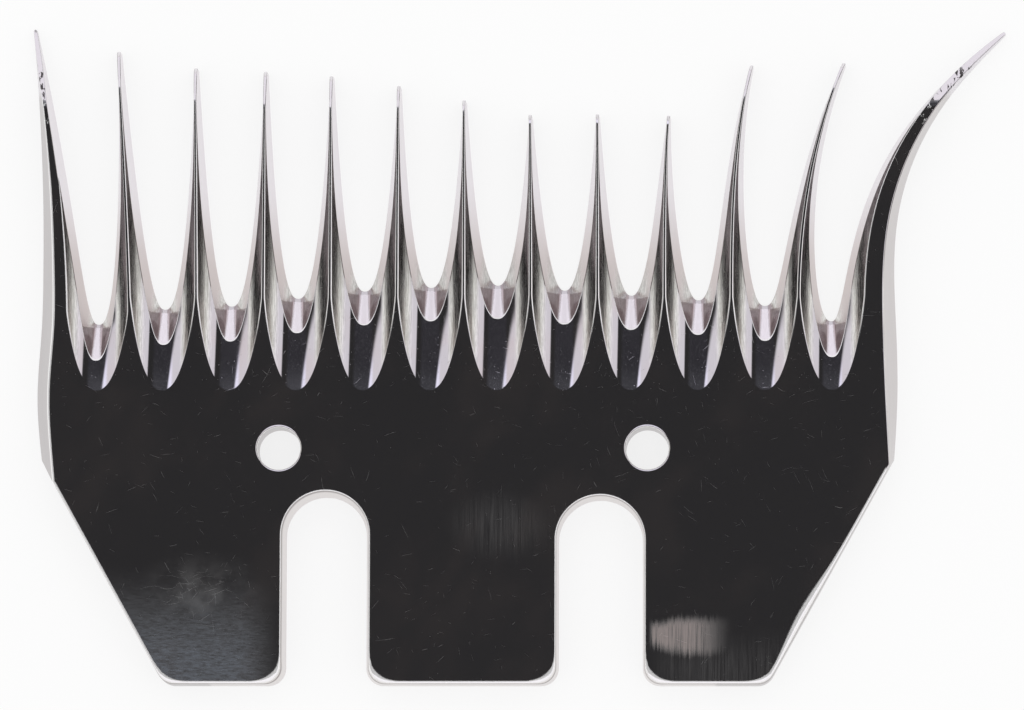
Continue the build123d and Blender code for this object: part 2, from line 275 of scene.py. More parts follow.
def lean_share(z):
    """How much of its lean a side has at a height: none on the land, all at the skin face."""
    return np.maximum(z - LAND, 0) / (THICKNESS - LAND)


def shoulder_point(side):
    """Shoulder of the plate on a side, on the ground face."""
    return np.array([PLATE_OFFSET + side * SHOULDER_WIDTH / 2, SHOULDER])


def rear_point(side):
    """Outer corner of a lug at the rear edge."""
    return np.array([PLATE_OFFSET + side * REAR_WIDTH / 2, REAR])


def outer_curve(tooth, lean):
    """Outer side of an outer tooth from the shoulder to the tip, leaned in by a share."""
    which = 1 if tooth else 0
    side = SIDES[which]
    width = EDGE_WIDTHS[which]
    shoulder_inset, swell_inset, root_inset = (lean * draft for draft in SIDE_DRAFTS[which])
    swelled = width + SIDE_SWELLS[which] - swell_inset
    points = [
        (PLATE_OFFSET + side * (SHOULDER_WIDTH / 2 - shoulder_inset), SHOULDER),
        (ridge(tooth, 0.0) + side * swelled, SIDE_SWELL_REACH),
    ]
    for share in (0, 0.2, 0.4, 0.6, 0.8, 1):
        y = ROOT + share * (TIPS[tooth] - TIP_RADIUS - ROOT)
        thick = TIP_RADIUS + (width - TIP_RADIUS) * (1 - share ** EDGE_POWERS[which])
        ax, ay = heading(tooth, y)
        off = side * (thick - root_inset * (thick / width) ** SIDE_DRAFT_POWERS[which])
        points.append((ridge(tooth, y) + off * ay, y - off * ax))
    return spline(points)


def corner(start, middle, end):
    """Points of a rounded corner: start and end stay, middle pulls them."""
    t = np.linspace(0, 1, 5)[:, None, None]
    return (1 - t) ** 2 * start + 2 * t * (1 - t) * middle + t**2 * end


def bent(before, at, after, radius, count):
    """Points of an arc that rounds a corner of a path."""
    before, at, after = (np.asarray(p, float) for p in (before, at, after))
    first, second = unit(before - at), unit(after - at)
    half = np.arccos(np.clip(first @ second, -1, 1)) / 2
    centre = at + unit(first + second) * radius / np.sin(half)
    start = at + first * radius / np.tan(half) - centre
    end = at + second * radius / np.tan(half) - centre
    a, b = np.arctan2(start[1], start[0]), np.arctan2(end[1], end[0])
    b = a + (b - a + np.pi) % (2 * np.pi) - np.pi
    turn = np.linspace(a, b, count)
    return centre + radius * np.stack([np.cos(turn), np.sin(turn)], axis=1)


def inside(point, loops):
    """Whether a point is inside the outline and outside the holes."""
    odd = False
    for loop in loops:
        x, y = np.asarray(loop)[:, 0], np.asarray(loop)[:, 1]
        x2, y2 = np.roll(x, -1), np.roll(y, -1)
        crosses = (y > point[1]) != (y2 > point[1])
        at = x[crosses] + (point[1] - y[crosses]) * (x2 - x)[crosses] / (y2 - y)[crosses]
        if np.count_nonzero(at > point[0]) % 2:
            odd = not odd
    return odd


def unit(vectors):
    """Vectors brought to a length of 1."""
    return vectors / np.maximum(np.linalg.norm(vectors, axis=-1, keepdims=True), TINY)


def share_of(span, length, most):
    """What share of each span a length is, at most the one given."""
    return np.minimum(length / np.maximum(span, TINY), most)


def stack(x, y, z):
    """Points from their coordinates."""
    x, y, z = np.broadcast_arrays(x, y, z)
    return np.stack([x, y, z], axis=-1)


def raised(plan, z):
    """Points from their plan and their heights."""
    return stack(*np.moveaxis(plan, -1, 0), z)


def between(first, second, shares):
    """Plan points at shares of the way from one line to another, a row for each point."""
    return first[:, None, :2] + (second[:, None, :2] - first[:, None, :2]) * shares[..., None]


def upward(dx, dy):
    """Unit normals of a surface with these slopes."""
    return unit(stack(-dx, -dy, 1.0))


class Shape:
    """Collects patches of the surface, then joins them into one mesh."""

    def __init__(self):
        self.points = []
        self.normals = []
        self.marks = []
        self.faces = []
        self.groups = []
        self.count = 0

    def add(self, points, normals, faces, group=0, wear=None, outer=0.0, behind=None):
        """Adds a patch: its points, normals and faces, and what the steel needs to know.

        The first mark is how much painted highlight its points get along an edge, and where it
        is negative, how dark a painted shade line they get. outer is 1 on the comb's outline and in
        its holes, and behind how far the points lie behind the front of a gap's cup. Patches share
        normals where they meet if their group is the same.
        """
        points = np.asarray(points, float).reshape(-1, 3)
        normals = np.asarray(normals, float).reshape(-1, 3)
        faces = np.array(faces)
        a, b, c = (points[faces[:, k]] for k in (0, 1, 2))
        d = points[faces[:, -1]]
        facing = np.cross(b - a, d - a) + np.cross(c - b, a - b)
        wrong = (facing * normals[faces].sum(axis=1)).sum(axis=1) < 0
        faces[wrong] = faces[wrong][:, ::-1]
        self.points.append(points)
        self.normals.append(normals)
        marks = np.zeros((len(points), 3))
        if wear is not None:
            marks[:, 0] = np.ravel(wear)
        marks[:, 1] = outer
        marks[:, 2] = -FAR if behind is None else np.ravel(behind)
        self.marks.append(marks)
        self.faces += [tuple(face) for face in faces + self.count]
        self.groups += [group] * len(faces)
        self.count += len(points)

    def grid(self, points, normals=None, toward=None, **marks):
        """Adds a patch of rows and columns of points, with normals or the way they face."""
        rows, columns = points.shape[:2]
        if normals is None:
            along = np.gradient(points, axis=0)
            across = np.gradient(points, axis=1)
            normals = unit(np.cross(along, across))
            flip = (normals * toward).sum(axis=2, keepdims=True) < 0
            normals = np.where(flip, -normals, normals)
        index = np.arange(rows * columns).reshape(rows, columns)
        faces = np.stack([index[:-1, :-1], index[1:, :-1], index[1:, 1:], index[:-1, 1:]], axis=2)
        self.add(points, normals, faces.reshape(-1, 4), **marks)

    def flat(self, outline, holes, z, up, group=0):
        """Adds a flat face inside an outline, round some holes."""
        loops = [outline, *holes]
        points = [Vector(p[:2]) for loop in loops for p in loop]
        edges = []
        first = 0
        for loop in loops:
            n = len(loop)
            edges += [(first + k, first + (k + 1) % n) for k in range(n)]
            first += n
        out = delaunay_2d_cdt(points, edges, [], 0, 1e-7)
        plan = np.array([tuple(v) for v in out[0]])
        faces = [f for f in out[2] if inside(plan[list(f)].mean(axis=0), loops)]
        verts = np.column_stack([plan, np.full(len(plan), z)])
        normals = np.tile((0.0, 0.0, up), (len(verts), 1))
        self.add(verts, normals, np.array([list(f) for f in faces]), group)

    def mesh(self, name):
        """One mesh with shared corners and its own normals."""
        points = np.concatenate(self.points)
        normals = np.concatenate(self.normals)
        keys = np.round(points / JOIN).astype(np.int64)
        _, first, joined = np.unique(keys, axis=0, return_index=True, return_inverse=True)
        joined = joined.ravel()
        marks = np.concatenate(self.marks)
        edge_light_sum = np.zeros(len(first))
        np.add.at(edge_light_sum, joined, marks[:, 0])
        others = np.full((len(first), 2), -FAR)
        np.maximum.at(others, joined, marks[:, 1:])
        total = {group: np.zeros((len(first), 3)) for group in set(self.groups)}
        faces, corners = [], []
        seen, kept = set(), set()
        for face, group in zip(self.faces, self.groups):
            merged = []
            for p in face:
                q = int(joined[p])
                if p not in seen:
                    seen.add(p)
                    total[group][q] += normals[p]
                if q not in merged:
                    merged.append(q)
            key = tuple(sorted(merged))
            if len(merged) > 2 and key not in kept:
                kept.add(key)
                faces.append(merged)
                corners += [(group, q) for q in merged]
        corners = np.array([total[group][q] for group, q in corners])
        mesh = bpy.data.meshes.new(name)
        mesh.from_pydata((points[first] * MM).tolist(), [], faces)
        mesh.polygons.foreach_set("use_smooth", [True] * len(mesh.polygons))
        mesh.normals_split_custom_set(unit(corners).tolist())
        # The edge mark holds painted highlights where it is positive and painted shade lines where it is
        # negative
        values = {"wear": np.clip(edge_light_sum, -1, 1), "outer": others[:, 0], "behind": others[:, 1]}
        for mark, value in values.items():
            layer = mesh.attributes.new(mark, "FLOAT", "POINT")
            layer.data.foreach_set("value", value)
        mesh.update()
        return mesh


def gap_half(shape, gap, side):
    """Adds a gap's left wall (side 0) or right one (1), and the flute as far as that tooth's top.

    Returns the wall's line on the ground face, and the line where the tooth's top starts.
    """
    tooth = gap + side
    sign = SIDES[1 - side]

    def under(z):
        """How far the wall at heights z is above the tooth's top and the flute."""
        x, y = wall_point(gap, side, z)
        return z - np.minimum(flute(gap, x, y), crown(tooth, y))

    height = first_crossing(under)
    start = WALL_HEIGHTS[-1]
    levels = [np.full(len(height), z) for z in WALL_HEIGHTS]
    levels += [start + (height - start) * share for share in WALL_SHARES]
    wall = np.stack([stack(*wall_point(gap, side, z), z) for z in levels], axis=1)
    toward = np.array([sign, 0.6, 0.6])
    shape.grid(wall, toward=toward, behind=THROATS[gap] - CUP_STEP - wall[..., 1])

    # The line where the flute reaches the tooth's top starts in the middle of the gap
    count = len(SHARES)
    inner = wall[:count, -1]
    part = np.clip(np.linspace(0, 2, ALONG), 0, 1)
    ease = np.ones(count)
    ease[:ALONG] = part * part * (3 - 2 * part)
    edge_y = FLUTE_START + (inner[:, 1] - FLUTE_START) * ease
    top = crown(tooth, edge_y)
    edge_x = flute_edge(gap, side, edge_y, top)
    edge_x[0] = gap_centre(gap, edge_y[0])
    outer = stack(edge_x, edge_y, top)

    # It joins the wall where that reaches the top or passes the flute's side
    closed = inner[:, 2] >= crown(tooth, inner[:, 1]) - 1e-4
    past = ((inner[:, 0] - outer[:, 0]) * sign < -1e-6) & (ease > 0.99)
    outer = np.where((closed | past)[:, None], inner, outer)
    span = np.linalg.norm(outer - inner, axis=1)
    near, far = share_of(span, SOFT, 0.2), share_of(span, RIDGE_ROUNDING, 0.3)
    shares = [near + (1 - near - far) * u for u in np.linspace(0, 1, FLUTE_COLUMNS)]
    shares = np.stack([np.zeros(count)] + shares + [np.ones(count)], axis=1)
    plan = between(inner, outer, shares)
    x, y = plan[..., 0], plan[..., 1]
    z = np.minimum(flute(gap, x, y), crown(tooth, y))
    z[:, 0] = inner[:, 2]
    z[:, -1] = outer[:, 2]
    e = 2e-3
    inward = x * (1 - 1e-3) + gap_centre(gap, y) * 1e-3
    dx = (flute(gap, inward + e, y) - flute(gap, inward - e, y)) / (2 * e)
    dy = (flute(gap, inward, y + e) - flute(gap, inward, y - e)) / (2 * e)

    # Painted highlights lie on the throat's edge and on the ridge, and a painted shade line lies along
    # the wall's edge
    throat_share, shade_line_fade = 0.2, 3
    ridge_wear_start, ridge_wear_rise = 9.5, 4
    wear = np.zeros(x.shape)
    shade_line = np.clip((BEVEL_STARTS[tooth] - inner[:, 1]) / shade_line_fade, 0, 1)
    wear[:, 0] = np.where(SHARES < throat_share, 1, -shade_line)
    wear[:, -1] = (span > 0.1) * np.clip((edge_y - ridge_wear_start) / ridge_wear_rise, 0, 1)
    shape.grid(stack(x, y, z), upward(dx, dy), wear=wear)
    return wall[:, 0], np.concatenate([outer, wall[count:, -1]])


def tooth_top(shape, tooth, left, right):
    """Adds the top of a tooth between its left and right lines. Returns its first row."""
    width = np.linalg.norm(right[:, :2] - left[:, :2], axis=1)
    near = share_of(width, SOFT, 0.3)
    shares = [near + (1 - 2 * near) * u for u in (0, 0.3, 0.5, 0.7, 1)]
    shares = np.stack([0 * near] + shares + [0 * near + 1], axis=1)
    plan = between(left, right, shares)
    x, y = plan[..., 0], plan[..., 1]
    z = crown(tooth, y)
    z[:, 0] = left[:, 2]
    z[:, -1] = right[:, 2]
    slope = (crown(tooth, np.minimum(y + CREASE, TIPS[tooth])) - crown(tooth, y - CREASE)) / (2 * CREASE)
    points = stack(x, y, z)
    shape.grid(points, upward(0 * x, slope))
    return points[0]


def edge_columns(top_at, plan_at, inward, height, run):
    """Columns of points up an outer wall and over its rounded edge, whose width is run.

    plan_at(z) gives the wall's plan at heights z, top_at(plan) the height of the face above,
    and inward points into the comb. EDGE_START is the column where the rounding starts.
    """
    start = height - run * ROUNDING_DEPTH
    levels = [0 * height, 0 * height + FOOT, np.minimum(LAND, start), (LAND + start) / 2, start]
    columns = [raised(plan_at(z), z) for z in levels]
    edge = plan_at(height)
    end, last = (edge + inward * (run * times)[:, None] for times in (1, 1.2))
    columns += list(corner(columns[-1], raised(edge, height), raised(end, top_at(end)))[1:])
    columns.append(raised(last, top_at(last)))
    return np.stack(columns, axis=1)


def outer_wall(shape, tooth, inner):
    """Adds the outer side of an outer tooth beside its inner line. Returns its columns."""
    which = 1 if tooth else 0
    side = SIDES[which]
    ground, leaned = outer_curve(tooth, 0), outer_curve(tooth, 1)
    table = np.linspace(0, 1, 4001)
    count = 1 + len(SHARES)
    u = np.interp(inner[:count, 1], ground(table)[:, 1], table)
    u[-1] = 1
    u = np.maximum.accumulate(u)
    tip = TIPS[tooth] - TIP_RADIUS
    ax, ay = heading(tooth, tip)
    centre = np.array([ridge(tooth, tip), tip])
    turn = np.concatenate([np.zeros(count), CAP])[:, None]
    out = np.array([ay, -ax]) * side
    tip_inset = SIDE_DRAFTS[which][2] * (TIP_RADIUS / EDGE_WIDTHS[which]) ** SIDE_DRAFT_POWERS[which]

    def plan_at(z):
        lean = lean_share(z)[:, None]
        body = ground(u) * (1 - lean[:count]) + leaned(u) * lean[:count]
        opened = ((z - CUP_LOW) / (CUP_HIGH - CUP_LOW))[:, None]
        own = TIP_RADIUS - lean * tip_inset
        shared = TIP_RADIUS + (CUP_KEEP - TIP_RADIUS) * opened
        radius = own * np.cos(turn) ** 2 + shared * np.sin(turn) ** 2
        cap = centre + radius * (np.cos(turn) * out + np.sin(turn) * np.array([ax, ay]))
        return np.concatenate([body, cap[count:]])

    def top_at(plan):
        return crown(tooth, plan[:, 1])

    plan = plan_at(np.full(len(inner), LAND))
    for _ in range(4):
        plan = plan_at(top_at(plan))
    across = inner[:, :2] - plan
    width = np.linalg.norm(across, axis=1)
    inward = across / np.maximum(width, NARROW)[:, None]
    run = np.minimum(ROUNDINGS["side"], ROUNDED_SHARE * width)
    columns = edge_columns(top_at, plan_at, inward, top_at(plan), run)
    wear = np.zeros(columns.shape[:2])
    # Painted highlight along the left side's rounded edge
    if side < 0:
        wear[:, EDGE_START + 1 : EDGE_START + 4] = 1
    shape.grid(columns, toward=np.array([side, 0.2, 0.8]), wear=wear, outer=1.0)
    return columns


def rear_path(z, left, right):
    """Plan of the plate's rim at a height, from its left side round the rear to its right.

    left and right are the points of the two sides, from the first row of the teeth down.
    Returns the points, the kind of edge that each is on, and how wide its rounding is. A
    corner is on two kinds, and its rounding changes from one to the other.
    """
    halves = [half - lean * (1 - z / THICKNESS) for half, lean in zip(SLOT_HALVES, SLOT_LEANS)]
    slots = zip(SIDES, halves)
    mouths = [[(side * SLOT_X + turn * half, REAR) for turn in SIDES] for side, half in slots]
    left_end, right_end = (rear_point(side) for side in SIDES)
    rear = [left_end, *mouths[0], *mouths[1], right_end]
    points, kinds, runs = [], [], []

    def add(kind, stretch):
        """Adds points of one kind of edge, or of a corner between two."""
        names = kind.split("-")
        first, second = ROUNDINGS[names[0]], ROUNDINGS[names[-1]]
        share = np.linspace(0, 1, len(stretch))
        points.append(stretch)
        kinds.extend([kind] * len(stretch))
        runs.append(first * (1 - share) + second * share)

    def line(kind, end):
        """Adds what lies between the last point and end."""
        share = np.linspace(0, 1, LINE_POINTS[kind] + 2)[1:-1, None]
        add(kind, points[-1][-1] * (1 - share) + end * share)

    def turn_at(kind, before, at, after, radius=LUG_CORNER, count=9):
        """Adds a rounded corner, and the straight line that leads to it."""
        bow = bent(before, at, after, radius, count)
        leading = kind.split("-")[0]
        if leading in LINE_POINTS:
            line(leading, bow[0])
        add(kind, bow)

    add("side", left[:-1])
    turn_at("side-diagonal", left[-2], left[-1], left_end, SHOULDER_CORNER, 5)
    turn_at("diagonal-rear", left[-1], left_end, rear[1])
    for which, (near, far) in enumerate(mouths):
        half = halves[which]
        head = np.array([SIDES[which] * SLOT_X, SLOT_TOPS[which] - SLOT_HALVES[which]])
        first, last = head + (-half, 0), head + (half, 0)
        turn_at("rear-slot", rear[2 * which], near, first)
        line("slot", first)
        turn = np.linspace(np.pi, 0, 33)
        add("slot", head + half * np.stack([np.cos(turn), np.sin(turn)], axis=1))
        turn_at("slot-rear", last, far, rear[2 * which + 3])
    turn_at("rear-diagonal", rear[4], right_end, right[-1])
    turn_at("diagonal-side", right_end, right[-1], right[-2], SHOULDER_CORNER, 5)
    add("side", right[:-1][::-1])
    return np.concatenate(points), kinds, np.concatenate(runs)


def side_points(tooth, z, first_y):
    """Points down a side of the plate at a height, from the teeth to its shoulder."""
    lean = lean_share(z)
    ground, leaned = outer_curve(tooth, 0), outer_curve(tooth, 1)
    table = np.linspace(0, 0.4, 800)
    curve = ground(table) * (1 - lean) + leaned(table) * lean
    slant = (curve[1, 0] - curve[0, 0]) / (curve[1, 1] - curve[0, 1])
    side = SIDES[1 if tooth else 0]
    shoulder, rear = shoulder_point(side), rear_point(side)
    run = (rear[0] - shoulder[0]) / (rear[1] - shoulder[1])
    last_y = SHOULDER + (curve[0, 0] - shoulder[0]) / (run - slant)
    y = np.linspace(first_y, last_y, 9)
    x = np.interp(y, curve[:, 1], curve[:, 0])
    x = np.where(y < curve[0, 1], curve[0, 0] + slant * (y - curve[0, 1]), x)
    return np.stack([x, y], axis=1)


def corner_run(plan):
    """How much wider the rounded edge is near each corner of the lugs."""
    corners = []
    for which, side in enumerate(SIDES):
        end = rear_point(side)
        forward = unit(shoulder_point(side) - end)
        corners.append((end, np.array([-side, 0]), forward, CORNER_SWEEPS[0]))
        for turn in SIDES:
            at = np.array([side * SLOT_X + turn * SLOT_HALVES[which], REAR])
            corners.append((at, np.array([turn, 0]), np.array([0, 1]), CORNER_SWEEPS[1]))
    extra = np.zeros(len(plan))
    for at, first, second, radius in corners:
        half = np.arccos(first @ second) / 2
        centre = at + unit(first + second) * radius / np.sin(half)
        near = np.linalg.norm(plan - at, axis=1) < radius / np.tan(half)
        beyond = np.linalg.norm(plan - centre, axis=1) - radius
        extra = np.maximum(extra, np.where(near, beyond, 0))
    return extra


def plate_rim(shape, left_row, right_row):
    """Adds the rim of the plate between the rows where the teeth's sides end."""
    first_y = left_row[0, 1]

    def path(z):
        return rear_path(z, side_points(0, z, first_y), side_points(LAST, z, first_y))

    foot, land, top = (path(z)[0] for z in (0, LAND, THICKNESS))
    _, kinds, run = path(0)

    def plan_at(z):
        z = z[:, None]
        low, high = np.clip(z / LAND, 0, 1), lean_share(z)
        return np.where(z <= LAND, foot * (1 - low) + land * low, land * (1 - high) + top * high)

    def top_at(plan):
        return np.full(len(plan), THICKNESS)

    run += corner_run(top)
    size, place, reach = DISH
    right = top[:, 0] > 0
    dished = right & (np.array(kinds) == "diagonal")
    run[dished] += size * np.exp(-(((top[dished, 1] - place) / reach) ** 2))
    along = np.gradient(top, axis=0)
    inward = unit(np.stack([-along[:, 1], along[:, 0]], axis=1))
    columns = edge_columns(top_at, plan_at, inward, top_at(top), run)
    columns[0] = left_row
    columns[-1] = right_row
    outward = np.concatenate([-inward, np.full((len(kinds), 1), 0.8)], axis=1)

    # The rounding gets a painted shade line where it starts and a painted highlight over its
    # middle. The left side gets only the painted highlight, and the right side neither
    sides = np.array(["side" in kind for kind in kinds])
    wear = np.zeros(columns.shape[:2])
    wear[~sides, EDGE_START] = -0.9
    wear[~sides, EDGE_START + 2 : EDGE_START + 4] = 1
    wear[sides & ~right, EDGE_START + 1 : EDGE_START + 4] = 1
    shape.grid(columns, toward=outward[:, None, :], wear=wear, outer=1.0)
    return columns


def hole(shape, x):
    """Adds the wall of a round hole. Returns its rings on the two faces."""
    turn = np.linspace(0, 2 * np.pi, 65)
    profile = [(0, z) for z in HOLE_HEIGHTS] + [(out, THICKNESS - down) for out, down in HOLE_EDGE]
    columns = []
    for out, z in profile:
        radius = HOLE_RADIUS + out
        columns.append(stack(x + radius * np.cos(turn), radius * np.sin(turn), z))
    points = np.stack(columns, axis=1)
    toward = np.array([x, 0.0, 0.0]) - points
    toward[..., 2] = 1.5
    wear = np.zeros(points.shape[:2])
    # Painted highlight round the hole's rounded edge
    start = len(HOLE_HEIGHTS) + 1
    wear[:, start : start + 2] = 0.7
    shape.grid(points, toward=toward, wear=wear, outer=1.0)
    return points[:-1, 0], points[:-1, -1]


def comb_mesh():
    """The whole comb as one mesh."""
    shape = Shape()
    walls = {}
    lines = {}
    for gap in range(LAST):
        front = [[gap_centre(gap, FLUTE_START), FLUTE_START - TOPS_START, THICKNESS]]
        for side in (0, 1):
            walls[gap, side], line = gap_half(shape, gap, side)
            lines[gap, side] = np.concatenate([front, line])
    left = outer_wall(shape, 0, lines[0, 0])
    right = outer_wall(shape, LAST, lines[LAST - 1, 1])
    rows = []
    for tooth in range(TEETH):
        first = left[:, -1] if tooth == 0 else lines[tooth - 1, 1]
        second = right[:, -1] if tooth == LAST else lines[tooth, 0]
        row = tooth_top(shape, tooth, first, second)
        rows += list(row[:-1] if tooth < LAST else row)
    rim = plate_rim(shape, left[0], right[0])
    rings = [hole(shape, side * HOLE_X) for side in SIDES]

    # The skin face, then the ground face, each round the comb from the left side
    outline = [*rim[:, -1], *rows[::-1][1:-1]]
    shape.flat(outline, [ring[1] for ring in rings], THICKNESS, 1.0)
    ground = [*rim[:, 0], *right[1:, 0]]
    for gap in range(LAST - 1, -1, -1):
        ground += [*walls[gap, 1][-2::-1], *walls[gap, 0][1:]]
    ground += [*left[-2:0:-1, 0]]
    shape.flat(ground, [ring[0] for ring in rings], 0.0, -1.0, group=1)
    return shape.mesh("comb")


class Graph:
    """A node tree with short calls: values are numbers, sockets or tuples."""

    def __init__(self, tree):
        self.tree = tree
        tree.nodes.clear()

    def node(self, kind, inputs=None, **settings):
        """Adds a node, sets its properties and fills or links its inputs."""
        node = self.tree.nodes.new(kind)
        for name, value in settings.items():
            setattr(node, name, value)
        for name, value in (inputs or {}).items():
            self.feed(node.inputs[name], value)
        return node

    def feed(self, socket, value):
        """Links a socket to an input, or sets the input's value."""
        if isinstance(value, bpy.types.NodeSocket):
            self.tree.links.new(value, socket)
        else:
            socket.default_value = value

    def math(self, operation, *values):
        """Result of a Math node."""
        return self.node("ShaderNodeMath", dict(enumerate(values)), operation=operation).outputs[0]

    def plus(self, first, second):
        """Sum of two values."""
        return self.math("ADD", first, second)

    def minus(self, first, second):
        """Difference of two values."""
        return self.math("SUBTRACT", first, second)

    def times(self, first, *others):
        """Product of values."""
        for other in others:
            first = self.math("MULTIPLY", first, other)
        return first

    def most(self, first, second):
        """Larger of two values."""
        return self.math("MAXIMUM", first, second)

    def size(self, value):
        """A value without its sign."""
        return self.math("ABSOLUTE", value)

    def vector(self, operation, *values):
        """Result of a Vector Math node."""
        return self.node("ShaderNodeVectorMath", dict(enumerate(values)), operation=operation).outputs[0]

    def parts(self, vector):
        """The three parts of a vector."""
        return self.node("ShaderNodeSeparateXYZ", {0: vector}).outputs[:3]

    def mark(self, name):
        """An attribute of the mesh."""
        return self.node("ShaderNodeAttribute", attribute_name=name).outputs["Fac"]

    def ramp(self, value, low, high, out_low=0.0, out_high=1.0):
        """Smooth step of a value from low to high."""
        inputs = dict(enumerate((value, low, high, out_low, out_high)))
        return self.node("ShaderNodeMapRange", inputs, interpolation_type="SMOOTHSTEP").outputs[0]

    def window(self, value, rise, fall):
        """1 between two smooth steps: rise is where the first starts and ends, fall the other."""
        return self.times(self.ramp(value, *rise), self.ramp(value, fall[1], fall[0]))

    def mix(self, share, first, second):
        """Blend of two colours."""
        return self.node("ShaderNodeMix", {0: share, 6: first, 7: second}, data_type="RGBA").outputs[2]

    def blend(self, share, first, second):
        """Blend of two numbers."""
        return self.node("ShaderNodeMix", {0: share, 2: first, 3: second}, data_type="FLOAT").outputs[0]

    def spot(self, vector, centre, size):
        """Soft oval spot: 1 at its centre, 0 at its edge."""
        offset = self.vector("ADD", vector, (-centre[0], -centre[1], 0))
        scaled = self.vector("MULTIPLY", offset, (1 / size[0], 1 / size[1], 0))
        far = self.node("ShaderNodeVectorMath", {0: scaled}, operation="LENGTH").outputs["Value"]
        return self.ramp(far, 1.0, 0.1)

    def noise(self, vector, scale, detail, roughness):
        """Fac of a noise texture."""
        inputs = {"Vector": vector, "Scale": scale, "Detail": detail, "Roughness": roughness}
        return self.node("ShaderNodeTexNoise", inputs).outputs["Fac"]

    def grain(self, vector, scale, detail, roughness, turn=0.0):
        """Noise stretched along each axis, after a turn about Z. A small scale draws it out."""
        turned = self.node("ShaderNodeMapping", {"Vector": vector, "Rotation": (0, 0, turn)}).outputs[0]
        scaled = self.node("ShaderNodeMapping", {"Vector": turned, "Scale": scale}).outputs[0]
        return self.noise(scaled, 1.0, detail, roughness)


def grey(level):
    """A neutral colour."""
    return (level, level, level, 1.0)


# Colours of the steel, from the polished face to the dirt
POLISH = (0.62, 0.61, 0.61, 1)
SMEAR = (0.64, 0.58, 0.56, 1)
# The flutes' floors and mouths: ground steel painted brighter and lilac to blue, a painted reflection
FLUTE_FLOOR = (0.76, 0.74, 0.83, 1)
FLUTE_MOUTH = (0.85, 0.86, 0.95, 1)
GROUND = ((0.56, 0.55, 0.53, 1), (0.86, 0.85, 0.83, 1))  # in the grinding's grooves and beside them
# painted shade of the grinding marks, towards the tips
GROUND_IN_SHADE = ((0.11, 0.1, 0.098, 1), (0.25, 0.23, 0.22, 1))
GAP_WALL = ((0.66, 0.59, 0.58, 1), (0.84, 0.80, 0.83, 1))  # at the throats, darker with painted shade, and at the tips, lighter with painted light
RIM_WALL = ((0.56, 0.535, 0.535, 1), (0.78, 0.74, 0.73, 1))  # on the outer sides, and paler with painted light in the slots and towards the right
CUP_LIGHT_AND_SHADE = ((0.88, 0.86, 0.87, 1), (0.33, 0.285, 0.275, 1))  # painted light in the middle and painted shade on its sides
CUP_MARKS = (0.7, 0.65, 0.66, 1)
SCRATCHED = (0.9, 0.9, 0.88, 1)
BUFFED_PATCH = (0.66, 0.57, 0.55, 1)
# buffing haze, its bluish tint a painted sheen
HAZE_WITH_BLUE_SHEEN = (0.5, 0.56, 0.66, 1)
# painted highlight along the rounded edges
EDGE_HIGHLIGHT = (0.95, 0.94, 0.94, 1)
TIP_STEEL = (0.77, 0.74, 0.77, 1)
# painted dark reflection
FLECK = (0.06, 0.055, 0.055, 1)
# painted shade line along edges and creases
SHADE_LINE = (0.2, 0.17, 0.16, 1)


def places(g):
    """Where a point of the comb is in millimetres, how it faces, and what it is marked with.

    off is its distance from the middle, bent its place pushed about a little, and across,
    ahead and up are the parts of its normal, across without its sign.
    """
    where = g.node("ShaderNodeTexCoord").outputs
    mm = g.vector("MULTIPLY", where["Object"], (1 / MM, 1 / MM, 1 / MM))
    x, y, z = g.parts(mm)
    across, ahead, up = g.parts(where["Normal"])
    drift = g.node("ShaderNodeTexNoise", {"Vector": mm, "Scale": 0.12, "Detail": 1.0})
    bend = g.vector("MULTIPLY", drift.outputs["Color"], (5, 5, 0))
    return SimpleNamespace(
        mm=mm, x=x, y=y, z=z, off=g.size(x), bent=g.vector("ADD", mm, bend),
        across=g.size(across), ahead=ahead, up=up,
        outer=g.ramp(g.mark("outer"), 0.4, 0.6), behind=g.mark("behind"), wear=g.mark("wear"),
    )


def surfaces(g, at):
    """Masks of the comb's surfaces: 1 on each one, 0 elsewhere."""
    above_ground = g.ramp(at.up, -0.8, -0.4)
    ragged = g.times(g.grain(at.mm, (6, 0.2, 1), 2.0, 0.5), 0.25)
    cup = g.times(g.ramp(g.plus(at.behind, ragged), 0.05, 0.2), g.ramp(at.up, 0.93, 0.85))
    below_face = g.ramp(at.z, THICKNESS - 0.003, THICKNESS - 0.05)
    floor = g.times(below_face, g.ramp(at.across, 0.34, 0.22), g.ramp(at.up, 0.7, 0.85))
    lead = g.ramp(at.off, 38, 40)
    bevel = g.times(g.ramp(at.y, 31.0, 33.0), g.ramp(at.ahead, 0.16, 0.33))
    tip = g.most(bevel, g.ramp(at.y, 40.3, 40.6))
    tip = g.most(tip, g.times(at.outer, lead, g.ramp(at.y, 34, 35)))
    return SimpleNamespace(
        above_ground=above_ground,
        flat=g.ramp(at.up, 0.97, 0.995),
        flank=g.ramp(at.across, 0.47, 0.62),
        wall=g.times(g.ramp(at.up, 0.55, 0.35), above_ground),
        cup=g.times(cup, above_ground),
        floor=g.times(floor, g.ramp(at.behind, -10, -20)),
        lead=lead,
        tip=g.times(tip, above_ground),
    )


def grinding(g, at):
    """Grinding marks along the teeth, coarse and fine."""
    coarse = g.grain(at.mm, (7, 0.22, 3), 3.0, 0.6)
    fine = g.grain(at.mm, (24, 0.9, 9), 2.0, 0.6)
    return g.ramp(g.plus(g.times(coarse, 0.65), g.times(fine, 0.35)), 0.36, 0.64)


